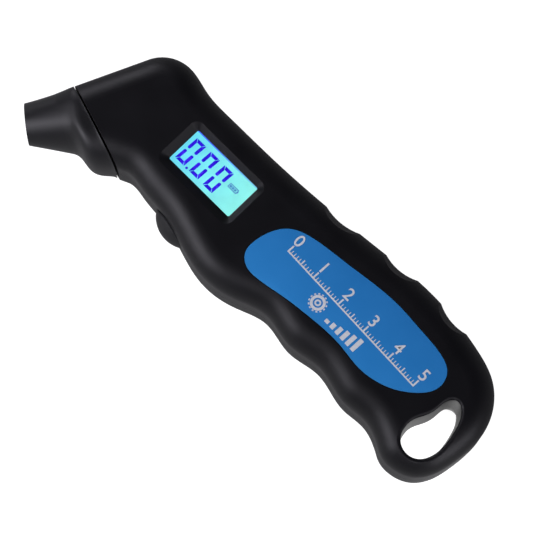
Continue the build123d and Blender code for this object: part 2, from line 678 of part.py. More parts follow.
# ---- Pressure sensor, hose and clips ----------------------------------------------------------
port = Plane(origin=(SENSOR_AT[0] - SENSOR_SIZE[0] / 2, SENSOR_AT[1], MID), z_dir=(-1, 0, 0))

with BuildPart() as pressure_sensor:
    with BuildSketch(Plane.XY.offset(SENSOR_LOW)):
        with Locations(SENSOR_AT):
            Rectangle(*SENSOR_SIZE)
    extrude(amount=BOARD_Z[0] - SENSOR_LOW)
    chamfer(pressure_sensor.edges().filter_by(Axis.Z), 0.8)
    add(through(port, BARB_RADIUS, -0.5, PORT_LENGTH))
    add(through(port, AIRWAY_RADIUS, -3, PORT_LENGTH + 1), mode=Mode.SUBTRACT)
pressure_sensor.part.label = "pressure_sensor"
export_step(pressure_sensor.part, "parts/pressure_sensor.step")

# The hose covers both barbs and curves between them
hose_start = bore.origin + bore.z_dir * (BARB_START + 0.2)
hose_end = port.origin + port.z_dir * 0.4
bend_start = bore.origin + bore.z_dir * (BARB_END + 0.5)
bend_end = port.origin + port.z_dir * (PORT_LENGTH + 0.3)
with BuildPart() as air_hose:
    with BuildLine() as hose_path:
        Line(hose_start, bend_start)
        Spline(bend_start, bend_end, tangents=[bore.z_dir, (1, 0, 0)])
        Line(bend_end, hose_end)
    with BuildSketch(Plane(origin=hose_start, z_dir=bore.z_dir)):
        Circle(HOSE_OUTER)
        Circle(HOSE_BORE, mode=Mode.SUBTRACT)
    sweep(path=hose_path.wires()[0])
air_hose.part.label = "air_hose"
export_step(air_hose.part, "parts/air_hose.step")

with BuildPart() as hose_clips:
    for clip_plane in (bore.offset(BARB_START + 1.6), port.offset(2.0)):
        with BuildSketch(clip_plane):
            Circle(HOSE_OUTER + CLIP_THICKNESS)
            Circle(HOSE_OUTER + 0.03, mode=Mode.SUBTRACT)
        extrude(amount=CLIP_WIDTH)
hose_clips.part.label = "hose_clips"
export_step(hose_clips.part, "parts/hose_clips.step")

# ---- Button and switch ------------------------------------------------------------------------
with BuildPart() as button_cap:
    dome_radius = (BUTTON_RADIUS ** 2 + BUTTON_DOME ** 2) / (2 * BUTTON_DOME)
    with BuildSketch(Plane(origin=button.origin, x_dir=(button_out.Y, -button_out.X, 0),
                           z_dir=(0, 0, 1))):
        with BuildLine():
            rim = BUTTON_RADIUS
            flange_rim = rim + CAP_FLANGE_REACH
            top = BUTTON_RIM + BUTTON_DOME
            Line((0, CAP_FLANGE[0]), (flange_rim, CAP_FLANGE[0]))
            Line((flange_rim, CAP_FLANGE[0]), (flange_rim, CAP_FLANGE[1]))
            Line((flange_rim, CAP_FLANGE[1]), (rim, CAP_FLANGE[1]))
            Line((rim, CAP_FLANGE[1]), (rim, BUTTON_RIM))
            RadiusArc((rim, BUTTON_RIM), (0, top), -dome_radius)
            Line((0, top), (0, CAP_FLANGE[0]))
        make_face()
    revolve(axis=Axis(button.origin, button_out))
    add(through(button, STEM_RADIUS, STEM_END, CAP_FLANGE[0] + 0.1))
button_cap.part.label = "button_cap"
export_step(button_cap.part, "parts/button_cap.step")

with BuildPart() as tact_switch_body:
    # Its upper face is level with the underside of the board
    with BuildSketch(button.offset(SWITCH_BACK)):
        Rectangle(2 * (BOARD_Z[0] - MID), SWITCH_WIDTH)
    extrude(amount=SWITCH_FACE - SWITCH_BACK)
    chamfer(tact_switch_body.edges().filter_by(Axis.Z), 0.4)
    add(through(button, PLUNGER_RADIUS + 0.1, PLUNGER_END - BUTTON_TRAVEL - 0.1, 0),
        mode=Mode.SUBTRACT)
tact_switch_body.part.label = "tact_switch_body"
export_step(tact_switch_body.part, "parts/tact_switch_body.step")

with BuildPart() as tact_plunger:
    add(through(button, PLUNGER_RADIUS, PLUNGER_END, STEM_END - 0.05))
tact_plunger.part.label = "tact_plunger"
export_step(tact_plunger.part, "parts/tact_plunger.step")

# ---- Battery, contacts and wires --------------------------------------------------------------
with BuildPart() as coin_cell:
    can_top = CELL_Z[0] + 2.5
    add(post(*CELL_AT, CELL_RADIUS, CELL_Z[0], can_top))
    fillet(coin_cell.edges().group_by(Axis.Z)[0], 0.4)
    add(post(*CELL_AT, CELL_RADIUS - CELL_LID, can_top - 0.1, CELL_Z[1]))
coin_cell.part.label = "coin_cell"
export_step(coin_cell.part, "parts/coin_cell.step")

with BuildPart() as battery_contact_negative:
    strip_low = CELL_Z[1] + 0.05
    add(block((cell_x - 6, cell_x + 6), (cell_y - 2, cell_y + 2),
              (strip_low, strip_low + CONTACT_THICKNESS + 0.05)))
    add(block((cell_x - 1.3, cell_x + 1.3), (cell_y - CONTACT_THICKNESS, cell_y + CONTACT_THICKNESS),
              (strip_low + 0.2, TRAY_TOP + 1.5)))
battery_contact_negative.part.label = "battery_contact_negative"
export_step(battery_contact_negative.part, "parts/battery_contact_negative.step")

with BuildPart() as battery_contact_positive:
    blade_x = cell_x + CELL_RADIUS + 0.15
    blade_top = TRAY_TOP + 1.3
    add(block((blade_x, blade_x + CONTACT_THICKNESS), (cell_y - 3, cell_y + 3),
              (CELL_Z[0] + 0.3, blade_top)))
    add(block((blade_x, blade_x + 2.25), (cell_y - 3, cell_y + 3),
              (blade_top - CONTACT_THICKNESS, blade_top)))
battery_contact_positive.part.label = "battery_contact_positive"
export_step(battery_contact_positive.part, "parts/battery_contact_positive.step")

lead_top = BOARD_Z[0] - REST
LEADS = [((cell_x + 11.4, cell_y + 1.5, blade_top + 0.05), (40.5, 5.5, lead_top)),
         ((cell_x, cell_y - 0.95, TRAY_TOP + 1.1), (40.5, 1.5, lead_top))]
with BuildPart() as battery_leads:
    for lead_start, lead_end in LEADS:
        with BuildLine() as lead_path:
            Spline(lead_start, (cell_x - 7, lead_start[1] + 0.6, 12.5), lead_end,
                   tangents=[(0, 0, 1), (0, 0, 1)])
        with BuildSketch(Plane(origin=lead_start)):
            Circle(LEAD_RADIUS)
        sweep(path=lead_path.wires()[0])
battery_leads.part.label = "battery_leads"
export_step(battery_leads.part, "parts/battery_leads.step")

# ---- Battery door and screws --------------------------------------------------------------------
shank, head = DOOR_SCREW
with BuildPart() as battery_door:
    with BuildSketch(Plane.XY.offset(DOOR_Z[0])):
        with Locations(CELL_AT):
            RectangleRounded(*DOOR, DOOR_CORNER)
    extrude(amount=DOOR_Z[1] - DOOR_Z[0])
    chamfer(battery_door.edges().group_by(Axis.Z)[0], DOOR_CHAMFER)
    for x, y in door_screws:
        add(post(x, y, shank + 0.25, 0, 3), mode=Mode.SUBTRACT)
        add(post(x, y, head + 0.2, 0, 1.5), mode=Mode.SUBTRACT)
battery_door.part.label = "battery_door"
export_step(battery_door.part, "parts/battery_door.step")

with BuildPart() as battery_door_screws:
    head_low = DOOR_Z[0] + 0.05
    for x, y in door_screws:
        add(post(x, y, shank, 1.4, 6.8))
        add(post(x, y, head, head_low, 1.5))
        add(cross_recess(x, y, 0, 1.0, 1.1, 0.25), mode=Mode.SUBTRACT)
battery_door_screws.part.label = "battery_door_screws"
export_step(battery_door_screws.part, "parts/battery_door_screws.step")

with BuildPart() as shell_screws:
    shank, head = SHELL_SCREW
    head_low = SHELL_HEAD_SEAT - HEAD_HEIGHT
    for x, y in SHELL_SCREWS:
        add(post(x, y, shank, SHELL_HEAD_SEAT - 0.1, SHELL_SCREW_TOP))
        add(post(x, y, head, head_low, SHELL_HEAD_SEAT))
        add(cross_recess(x, y, head_low - 1, head_low + 1, 1.5, 0.3), mode=Mode.SUBTRACT)
shell_screws.part.label = "shell_screws"
export_step(shell_screws.part, "parts/shell_screws.step")
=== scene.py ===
"""Looks of a digital tire pressure gauge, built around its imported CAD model.

The gauge lies on its back: +X runs along the handle to the lanyard hole, +Y is the thumb side,
-Y the finger side with the button, and +Z points out of the display. Lengths are in metres.
"""
import json
import math

import bmesh
import bpy
from mathutils import Matrix, Vector


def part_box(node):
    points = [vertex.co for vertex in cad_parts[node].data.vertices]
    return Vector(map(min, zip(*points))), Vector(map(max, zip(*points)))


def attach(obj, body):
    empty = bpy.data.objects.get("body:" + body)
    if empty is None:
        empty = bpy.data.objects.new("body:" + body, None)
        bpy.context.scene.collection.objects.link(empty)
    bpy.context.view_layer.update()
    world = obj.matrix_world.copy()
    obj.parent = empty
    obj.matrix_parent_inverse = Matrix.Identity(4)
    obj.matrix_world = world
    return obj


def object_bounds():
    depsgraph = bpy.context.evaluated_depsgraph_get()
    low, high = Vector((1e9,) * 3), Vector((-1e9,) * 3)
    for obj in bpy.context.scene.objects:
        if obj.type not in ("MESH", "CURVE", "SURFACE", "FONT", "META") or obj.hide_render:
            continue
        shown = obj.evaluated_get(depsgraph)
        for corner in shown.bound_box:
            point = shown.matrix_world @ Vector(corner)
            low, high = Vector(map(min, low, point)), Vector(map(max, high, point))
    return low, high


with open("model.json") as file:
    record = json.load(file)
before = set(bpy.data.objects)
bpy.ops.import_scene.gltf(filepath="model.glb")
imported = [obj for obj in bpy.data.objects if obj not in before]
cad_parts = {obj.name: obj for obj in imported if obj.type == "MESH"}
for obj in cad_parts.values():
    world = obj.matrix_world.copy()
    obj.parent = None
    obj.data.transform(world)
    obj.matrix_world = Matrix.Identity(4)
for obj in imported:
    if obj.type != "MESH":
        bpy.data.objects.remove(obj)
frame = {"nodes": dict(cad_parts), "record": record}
cad_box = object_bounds()
MM = 0.001


# ---- Node material helpers ----------------------------------------------------------------

MID_TONES = 0.3, 0.7            # where most values of a noise lie
EDGE_TURN = 0.02, 0.25          # turn of the surface at which an edge begins to show, and is full
EDGE_ROUNDING = 0.15 * MM       # how rounded sharp edges look in the light
BEVEL_SAMPLES = 4


class Shader:
    """A node material whose Principled shader is fed by small pattern functions."""

    def __init__(self, name):
        self.material = bpy.data.materials.new(name)
        self.material.use_nodes = True
        self.nodes = self.material.node_tree.nodes
        self.links = self.material.node_tree.links
        self.surface = self.nodes["Principled BSDF"]
        self.place = self.nodes.new("ShaderNodeTexCoord").outputs["Object"]

    def feed(self, value, socket):
        """Links a node output, or sets a plain value."""
        if isinstance(value, bpy.types.NodeSocket):
            self.links.new(value, socket)
        else:
            socket.default_value = value

    def set(self, **values):
        """Feeds the Principled shader's inputs, named with _ for each space."""
        for name, value in values.items():
            self.feed(value, self.surface.inputs[name.replace("_", " ")])

    def noise(self, grain_mm, detail=3.0, stretch=(1, 1, 1)):
        """Noise whose features are about grain_mm across, packed tighter where stretch is over 1."""
        scaled = self.nodes.new("ShaderNodeMapping")
        scaled.inputs["Scale"].default_value = stretch
        self.links.new(self.place, scaled.inputs["Vector"])
        node = self.nodes.new("ShaderNodeTexNoise")
        node.inputs["Scale"].default_value = 1 / (grain_mm * MM)
        node.inputs["Detail"].default_value = detail
        self.links.new(scaled.outputs["Vector"], node.inputs["Vector"])
        return node.outputs["Fac"]

    def cell_walls(self, size_mm):
        """Distance to the nearest wall between cells about size_mm across, in cell sizes."""
        node = self.nodes.new("ShaderNodeTexVoronoi")
        node.feature = "DISTANCE_TO_EDGE"
        node.inputs["Scale"].default_value = 1 / (size_mm * MM)
        self.links.new(self.place, node.inputs["Vector"])
        return node.outputs["Distance"]

    def axis(self, name):
        """The X, Y or Z coordinate in metres."""
        node = self.nodes.new("ShaderNodeSeparateXYZ")
        self.links.new(self.place, node.inputs[0])
        return node.outputs[name]

    def maths(self, operation, a, b, clamp=False):
        """One calculation on two node outputs or numbers."""
        node = self.nodes.new("ShaderNodeMath")
        node.operation = operation
        node.use_clamp = clamp
        self.feed(a, node.inputs[0])
        self.feed(b, node.inputs[1])
        return node.outputs[0]

    def spread(self, value, low, high, start=0.0, end=1.0):
        """Maps value from start..end onto low..high."""
        node = self.nodes.new("ShaderNodeMapRange")
        for name, item in (("Value", value), ("From Min", start), ("From Max", end),
                           ("To Min", low), ("To Max", high)):
            self.feed(item, node.inputs[name])
        return node.outputs["Result"]

    def tone(self, noise, low=0.0, high=1.0):
        """Maps the middle tones of a noise onto low..high."""
        return self.spread(noise, low, high, *MID_TONES)

    def mix(self, factor, first, second):
        """Mixes two colours, each an (r, g, b) or a node output."""
        node = self.nodes.new("ShaderNodeMix")
        node.data_type = "RGBA"
        self.feed(factor, node.inputs["Factor"])
        for value, socket in ((first, node.inputs["A"]), (second, node.inputs["B"])):
            self.feed((*value, 1) if isinstance(value, tuple) else value, socket)
        return node.outputs["Result"]

    def rounded_normal(self, radius):
        """The surface's direction as if its edges had this radius."""
        node = self.nodes.new("ShaderNodeBevel")
        node.samples = BEVEL_SAMPLES
        node.inputs["Radius"].default_value = radius
        return node.outputs["Normal"]

    def edges(self, radius_mm):
        """1 along sharp edges and 0 on flat faces."""
        plain = self.nodes.new("ShaderNodeNewGeometry")
        dot = self.nodes.new("ShaderNodeVectorMath")
        dot.operation = "DOT_PRODUCT"
        self.links.new(self.rounded_normal(radius_mm * MM), dot.inputs[0])
        self.links.new(plain.outputs["Normal"], dot.inputs[1])
        return self.spread(self.maths("SUBTRACT", 1.0, dot.outputs["Value"]), 0, 1, *EDGE_TURN)

    def bump(self, height, depth_mm):
        """Surface relief on top of edges that catch light as if slightly rounded."""
        node = self.nodes.new("ShaderNodeBump")
        node.inputs["Distance"].default_value = depth_mm * MM
        self.feed(height, node.inputs["Height"])
        self.links.new(self.rounded_normal(EDGE_ROUNDING), node.inputs["Normal"])
        self.links.new(node.outputs["Normal"], self.surface.inputs["Normal"])


def moulded(name, dark, light, rough=(0.4, 0.5), grain_mm=0.25, depth_mm=0.01, worn=None,
            wear=0.3, level=0.5, sheen=0.0):
    """Moulded plastic or rubber: uneven tone, fine spark-eroded grain and rubbed edges."""
    s = Shader(name)
    cloud = s.noise(14, 4)
    grain = s.noise(grain_mm, 2)
    patches = s.spread(s.noise(2.5, 5), 0, wear, 0.42, 0.62)
    rubbed = s.maths("MULTIPLY", s.edges(0.35), patches, clamp=True)
    colour = s.mix(s.tone(cloud), dark, light)
    colour = s.mix(rubbed, colour, worn or tuple(3 * c for c in light))
    uneven = s.maths("ADD", cloud, s.maths("MULTIPLY", grain, 0.5))
    s.set(Base_Color=colour, Specular_IOR_Level=level, Sheen_Weight=sheen, Sheen_Roughness=0.4,
          Roughness=s.spread(uneven, *rough, 0.4, 1.1))
    s.bump(s.maths("ADD", grain, s.maths("MULTIPLY", cloud, 2)), depth_mm)
    return s


def metal(name, dark, light, rough=(0.22, 0.4)):
    """Plated, turned or brushed metal with fine lines, tarnish and bright edges."""
    s = Shader(name)
    lines = s.noise(0.35, 3, stretch=(1, 1, 12))
    tarnish = s.noise(3.0, 5)
    colour = s.mix(s.spread(tarnish, 0, 1, 0.35, 0.7), light, dark)
    colour = s.mix(s.edges(0.2), colour, tuple(min(1.0, 1.25 * c) for c in light))
    s.set(Base_Color=colour, Metallic=1.0,
          Roughness=s.spread(s.maths("ADD", lines, tarnish), *rough, 0.7, 1.3))
    s.bump(lines, 0.006)
    return s


# ---- One material for each slot -----------------------------------------------------------

def label_blue():
    """Blue satin inlay with painted light: lighter towards the finger side, where the main softboxes
    stand, and a painted highlight along its edges.
    """
    s = Shader("label_blue")
    finger_side, thumb_side = -12 * MM, 10 * MM
    # Painted light: the blue is lighter on the finger side, which the main softboxes light, and
    # darker towards the thumb side
    painted_light_across = s.spread(s.axis("Y"), 1, 0, finger_side, thumb_side)
    cloud = s.noise(9, 3)
    painted_light_and_tone = s.maths("ADD", painted_light_across, s.tone(cloud, -0.12, 0.12), clamp=True)
    colour = s.mix(painted_light_and_tone, (0.023, 0.240, 0.640), (0.032, 0.300, 0.760))
    # Painted highlight: a lighter blue along all the label's edges, standing in for the light caught
    # by its rim
    colour = s.mix(s.edges(0.25), colour, (0.08, 0.42, 0.85))
    s.set(Base_Color=colour, Roughness=s.tone(cloud, 0.34, 0.44), Specular_IOR_Level=0.35)
    s.bump(s.noise(0.18, 2), 0.006)
    return s


def lcd_glass():
    """Lit panel: cyan, greener away from the head, with a violet leak on the thumb edge."""
    s = Shader("lcd_glass")
    x, y = s.axis("X"), s.axis("Y")
    half_length = 11 * MM
    leak_starts, leak_full = 5.42 * MM, 5.58 * MM
    fade_starts, fade_ends = -6 * MM, 10 * MM
    colour = s.mix(s.spread(x, 0, 1, -half_length, half_length),
                   (0.155, 0.745, 0.925), (0.275, 0.895, 0.835))
    leak = s.maths("MULTIPLY", s.spread(y, 0, 1, leak_starts, leak_full),
                   s.spread(x, 0.95, 0.35, fade_starts, fade_ends))
    colour = s.mix(leak, colour, (0.05, 0.10, 0.90))
    # The bezel throws back only a little of the panel's light
    path = s.nodes.new("ShaderNodeLightPath")
    bounces = s.maths("ADD", path.outputs["Diffuse Depth"], path.outputs["Glossy Depth"])
    glow = s.maths("MULTIPLY", s.tone(s.noise(5, 2), 0.93, 1.07), s.spread(bounces, 1.0, 0.2))
    s.set(Base_Color=s.mix(0.8, colour, (0, 0, 0)), Emission_Color=colour,
          Emission_Strength=glow, Roughness=s.spread(s.noise(1.5, 2), 0.12, 0.2))
    s.bump(s.noise(0.3, 1), 0.001)
    return s


def lcd_ink(name, dark, light):
    """Switched-on crystal segments, violet-blue against the backlight."""
    s = Shader(name)
    tone = s.spread(s.noise(2.2, 3), 0, 1, 0.35, 0.65)
    colour = s.mix(tone, dark, light)
    s.set(Base_Color=s.mix(0.7, colour, (0, 0, 0)), Emission_Color=colour,
          Emission_Strength=0.95, Roughness=s.spread(tone, 0.2, 0.3))
    s.bump(s.noise(0.3, 1), 0.001)
    return s


def print_white():
    """Screen-printed ink with uneven cover."""
    s = Shader("print_white")
    cover = s.noise(0.5, 4)
    colour = s.mix(s.spread(cover, 0, 1, 0.3, 0.75), (0.80, 0.83, 0.86), (0.93, 0.94, 0.95))
    s.set(Base_Color=colour, Roughness=s.spread(cover, 0.4, 0.55), Specular_IOR_Level=0.3)
    s.bump(cover, 0.004)
    return s


def clear_window():
    """Clear acrylic with faint wipe marks."""
    s = Shader("clear_window")
    marks = s.noise(0.8, 4, stretch=(1, 14, 1))
    s.set(Base_Color=s.mix(marks, (0.97, 0.985, 0.99), (1.0, 1.0, 1.0)),
          Transmission_Weight=1.0, IOR=1.3, Roughness=s.spread(marks, 0.0, 0.05, 0.45, 0.75))
    return s


def board_green():
    """Solder mask over copper tracks."""
    s = Shader("board_green")
    tracks = s.spread(s.cell_walls(2.6), 1, 0, 0.05, 0.09)
    grain = s.noise(0.6, 3)
    colour = s.mix(s.tone(grain), (0.010, 0.110, 0.040), (0.016, 0.150, 0.055))
    colour = s.mix(s.maths("MULTIPLY", tracks, 0.7), colour, (0.05, 0.30, 0.09))
    s.set(Base_Color=colour, Roughness=s.spread(grain, 0.25, 0.38))
    s.bump(tracks, 0.03)
    return s


def layered_rubber():
    """Zebra connector: thin carbon layers in pale silicone."""
    s = Shader("connector_rubber")
    layers = s.nodes.new("ShaderNodeTexWave")
    layers.inputs["Scale"].default_value = 1600
    layers.inputs["Distortion"].default_value = 0.3
    s.links.new(s.place, layers.inputs["Vector"])
    colour = s.mix(layers.outputs["Fac"], (0.05, 0.05, 0.05), (0.58, 0.50, 0.42))
    s.set(Base_Color=colour, Roughness=s.spread(s.noise(1, 3), 0.5, 0.65))
    s.bump(layers.outputs["Fac"], 0.02)
    return s


def glowing(name, dim, bright, strength):
    """Milky light guide or lamp that shines faintly, unevenly bright."""
    s = Shader(name)
    cloud = s.noise(2.5, 3)
    colour = s.mix(s.tone(cloud), dim, bright)
    s.set(Base_Color=colour, Emission_Color=colour, Emission_Strength=strength,
          Roughness=s.spread(cloud, 0.35, 0.5))
    s.bump(s.noise(0.3, 2), 0.01)
    return s


def silicone():
    """Cloudy translucent tube."""
    s = Shader("hose_silicone")
    cloud = s.noise(2.0, 4)
    colour = s.mix(s.tone(cloud), (0.55, 0.55, 0.52), (0.74, 0.73, 0.70))
    s.set(Base_Color=colour, Subsurface_Weight=0.4, Subsurface_Radius=(0.002, 0.002, 0.0015),
          Roughness=s.spread(cloud, 0.35, 0.5))
    s.bump(s.noise(0.4, 2), 0.01)
    return s


# Each moulded or metal look is given by its darker and its lighter tone
BLACK = (0.0020, 0.0019, 0.0030), (0.0034, 0.0032, 0.0048)
SLOTS = {
    "shell_black": moulded("shell_black", *BLACK, wear=0.25, level=0.35),
    "head_black": moulded("head_black", *BLACK, level=0.42),
    "label_blue": label_blue(),
    "clear_window": clear_window(),
    "lcd_glass": lcd_glass(),
    "frame_grey": moulded("frame_grey", (0.035, 0.036, 0.039), (0.05, 0.05, 0.055)),
    "connector_rubber": layered_rubber(),
    "diffuser_white": glowing("diffuser_white", (0.70, 0.80, 0.84), (0.86, 0.92, 0.95), 0.15),
    "led_white": glowing("led_white", (0.80, 0.72, 0.40), (0.95, 0.93, 0.80), 0.6),
    "board_green": board_green(),
    "chip_black": moulded("chip_black", (0.012, 0.012, 0.013), (0.022, 0.022, 0.024),
                          grain_mm=0.12),
    "screw_steel": metal("screw_steel", (0.36, 0.36, 0.37), (0.58, 0.58, 0.59)),
    "sensor_white": moulded("sensor_white", (0.62, 0.61, 0.57), (0.75, 0.74, 0.70),
                            worn=(0.85, 0.84, 0.80)),
    "hose_silicone": silicone(),
    "button_rubber": moulded("button_rubber", (0.006, 0.006, 0.007), (0.010, 0.010, 0.011),
                             rough=(0.52, 0.64), grain_mm=0.2, depth_mm=0.02, level=0.4,
                             sheen=0.05),
    "plunger_red": moulded("plunger_red", (0.30, 0.030, 0.024), (0.42, 0.05, 0.04),
                           worn=(0.6, 0.2, 0.18)),
    "cell_steel": metal("cell_steel", (0.42, 0.42, 0.43), (0.64, 0.64, 0.65), (0.18, 0.34)),
    "contact_nickel": metal("contact_nickel", (0.45, 0.42, 0.36), (0.68, 0.64, 0.56)),
    "lead_red": moulded("lead_red", (0.34, 0.016, 0.014), (0.48, 0.03, 0.03),
                        worn=(0.6, 0.15, 0.13)),
    "seal_rubber": moulded("seal_rubber", (0.010, 0.010, 0.010), (0.018, 0.018, 0.018),
                           rough=(0.5, 0.62), depth_mm=0.015),
    "core_brass": metal("core_brass", (0.42, 0.27, 0.09), (0.74, 0.54, 0.23), (0.2, 0.36)),
}

slot_of = {part["node"]: part["material_slot"] for part in frame["record"]["subparts"]}
for name, node in frame["nodes"].items():
    node.data.materials.clear()
    node.data.materials.append(SLOTS[slot_of[name]].material)


# ---- Flat printed shapes ------------------------------------------------------------------

DISC_SIDES = 20
NUMBER_SWELL = 0.012            # how much fatter numbers are drawn, for each unit of their size
SAME_PLACE = 1e-7               # corners nearer than this are one corner


def round_turn(count):
    """Evenly spaced angles of one full turn."""
    return [2 * math.pi * i / count for i in range(count)]


class Print:
    """Thin raised shapes gathered into one piece, all at one height."""

    def __init__(self, name, base, thickness, centre=(0, 0), turn=0.0, slant=0.0):
        self.name = name
        self.thickness = thickness
        c, s = math.cos(turn), math.sin(turn)
        # Local x runs along the line of print and y up it; slant leans the strokes
        self.place = Matrix(((c, c * slant - s, 0, centre[0]), (s, s * slant + c, 0, centre[1]),
                             (0, 0, 1, base), (0, 0, 0, 1)))
        self.mesh = bmesh.new()

    def corner(self, x, y, z):
        """Adds a corner given in the print's own directions."""
        return self.mesh.verts.new(self.place @ Vector((x, y, z)))

    def outline(self, points):
        """Adds a closed shape with straight sides."""
        low = [self.corner(x, y, 0) for x, y in points]
        high = [self.corner(x, y, self.thickness) for x, y in points]
        self.mesh.faces.new(high)
        self.mesh.faces.new(low[::-1])
        for i, corner in enumerate(low):
            after = (i + 1) % len(low)
            self.mesh.faces.new((corner, low[after], high[after], high[i]))

    def bar(self, x0, x1, y0, y1):
        """Adds an upright rectangle."""
        self.outline([(x0, y0), (x1, y0), (x1, y1), (x0, y1)])

    def disc(self, x, y, radius):
        """Adds a round dot."""
        self.outline([(x + radius * math.cos(t), y + radius * math.sin(t))
                      for t in round_turn(DISC_SIDES)])

    def ring(self, x, y, inner, outer, sides):
        """Adds a flat ring as closed segments that share their walls' corners."""
        rows = []
        for radius, z in ((inner, 0), (outer, 0), (outer, self.thickness),
                          (inner, self.thickness)):
            rows.append([self.corner(x + radius * math.cos(t), y + radius * math.sin(t), z)
                         for t in round_turn(sides)])
        for i in range(sides):
            after = (i + 1) % sides
            for a, b in zip(rows, rows[1:] + rows[:1]):
                self.mesh.faces.new((a[i], a[after], b[after], b[i]))

    def number(self, text, x, y, size):
        """Adds a number centred on x, standing on y."""
        curve = bpy.data.curves.new(self.name + "_number", "FONT")
        curve.body = text
        curve.size = size
        curve.align_x = "CENTER"
        curve.offset = size * NUMBER_SWELL
        curve.extrude = self.thickness / 2
        holder = bpy.data.objects.new(curve.name, curve)
        bpy.context.scene.collection.objects.link(holder)
        flat = bpy.data.meshes.new_from_object(holder)
        flat.transform(self.place @ Matrix.Translation((x, y, self.thickness / 2)))
        self.mesh.from_mesh(flat)
        bpy.data.objects.remove(holder)
        bpy.data.meshes.remove(flat)
        bpy.data.curves.remove(curve)

    def piece(self, look):
        """Turns the shapes into one piece of the housing."""
        bmesh.ops.remove_doubles(self.mesh, verts=self.mesh.verts, dist=SAME_PLACE)
        bmesh.ops.recalc_face_normals(self.mesh, faces=self.mesh.faces)
        data = bpy.data.meshes.new(self.name)
        self.mesh.to_mesh(data)
        self.mesh.free()
        data.materials.append(look.material)
        made = bpy.data.objects.new(self.name, data)
        bpy.context.scene.collection.objects.link(made)
        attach(made, "housing")


# ---- Display reading ----------------------------------------------------------------------

READING_LIFT = 0.002 * MM       # the segments lie just off the panel
READING_THICKNESS = 0.015 * MM
SLANT = 0.06

DIGIT = 3.6 * MM, 8.2 * MM      # outer width and height
DIGIT_COUNT = 3
DIGIT_START = -10.76 * MM, -4.18 * MM       # lower left corner of the first digit
DIGIT_PITCH = 5.46 * MM
STROKE = 0.98 * MM
CORNER = 0.4 * MM               # how far the level segments stop short of the corners
MITRE = 0.55 * MM               # how far their ends lean in across the stroke
SPLIT = 0.33 * MM               # half the gap between the upper and lower segments
TOE = 0.17 * MM, 0.12 * MM      # blunt outer end of an upright segment
HEEL = 1.12 * MM                # where its inner side begins
POINT = -6.25 * MM, -4.05 * MM  # middle of the decimal point
POINT_RADIUS = 0.38 * MM

BATTERY = 5.1 * MM, 0.35 * MM   # lower left corner of the battery mark
BATTERY_SIZE = 3.2 * MM, 1.35 * MM
BATTERY_LINE = 0.2 * MM
CHARGE_COUNT = 3
CHARGE_WIDTH = 0.6 * MM
CHARGE_PITCH = 0.82 * MM


def zero(shape, x, y):
    """A seven-segment nought with its lower left corner at x, y: the middle segment is off."""
    w, h = DIGIT
    level = [(CORNER, 0), (w - CORNER, 0), (w - CORNER - MITRE, STROKE), (CORNER + MITRE, STROKE)]
    end = h / 2 - SPLIT
    shoulder, side = end - 0.1 * STROKE, end - 0.35 * STROKE
    upright = [(0, TOE[1]), (TOE[0], 0), (STROKE, HEEL), (STROKE, side), (0.85 * STROKE, shoulder),
               (STROKE / 2, end), (0.15 * STROKE, shoulder), (0, side)]
    for top in (False, True):
        for points, sides in ((level, (False,)), (upright, (False, True))):
            for far in sides:
                shape.outline([(x + (w - px if far else px), y + (h - py if top else py))
                               for px, py in points])


def reading():
    """The display's 0.00, and a small battery mark beside it."""
    panel_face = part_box("lcd_panel")[1].z
    layer = panel_face + READING_LIFT, READING_THICKNESS
    digits = Print("lcd_digits", *layer, slant=SLANT)
    for i in range(DIGIT_COUNT):
        zero(digits, DIGIT_START[0] + i * DIGIT_PITCH, DIGIT_START[1])
    digits.disc(*POINT, POINT_RADIUS)
    digits.piece(lcd_ink("lcd_ink", (0.016, 0.004, 0.62), (0.050, 0.012, 0.90)))

    mark = Print("lcd_mark", *layer, slant=SLANT)
    (x, y), (long, tall), line = BATTERY, BATTERY_SIZE, BATTERY_LINE
    mark.bar(x, x + long, y, y + line)
    mark.bar(x, x + long, y + tall - line, y + tall)
    mark.bar(x, x + line, y + line, y + tall - line)
    mark.bar(x + long - line, x + long, y + line, y + tall - line)
    # The pole, then the bars of charge
    mark.bar(x + long, x + long + line, y + tall / 3, y + 2 * tall / 3)
    for i in range(CHARGE_COUNT):
        left = x + 2 * line + i * CHARGE_PITCH
        mark.bar(left, left + CHARGE_WIDTH, y + 2 * line, y + tall - 2 * line)
    mark.piece(lcd_ink("lcd_ink_pale", (0.012, 0.06, 0.42), (0.03, 0.10, 0.52)))


# ---- Label print --------------------------------------------------------------------------

PRINT_SINK = 0.005 * MM         # the print is rooted this deep in the label
PRINT_THICKNESS = 0.03 * MM
PRINT_CENTRE = 55.5 * MM, 0.5 * MM
PRINT_TURN = math.radians(-2.5)

SCALE_LENGTH = 50.0 * MM
SCALE_STEPS = 50
SCALE_TICKS = {10: (1.9, 0.5), 5: (1.4, 0.36), 1: (0.95, 0.24)}    # every nth: length, width, mm
SCALE_Y = -2.4 * MM             # where the ticks stand
SCALE_LINE = 0.45 * MM          # from there to the lower side of the line under them
SCALE_LINE_GAP = 0.01 * MM      # and to its upper side
SCALE_OVERHANG = 0.25 * MM
NUMBER_STEP = 10
NUMBER_LIFT = 2.3 * MM
NUMBER_SIZE = 4.9 * MM

WHEEL = -9.0 * MM, -6.35 * MM               # middle of the wheel
HUB = 0.45 * MM, 0.95 * MM, 20              # inner and outer radius, sides
TYRE = 1.4 * MM, 2.2 * MM, 32
TREAD_BLOCKS = 14
TREAD_HALF_WIDTH = 0.27 * MM
TREAD_HEIGHTS = 0.1 * MM, 0.5 * MM          # foot and top of a block, off the tyre

LEVEL_BARS = 6
LEVEL_START = -4.2 * MM
LEVEL_PITCH = 2.05 * MM
LEVEL_WIDTH = 1.3 * MM
LEVEL_FOOT = -8.5 * MM
LEVEL_TOP = -7.4 * MM           # of the first bar
LEVEL_RISE = 0.62 * MM          # from each bar to the next


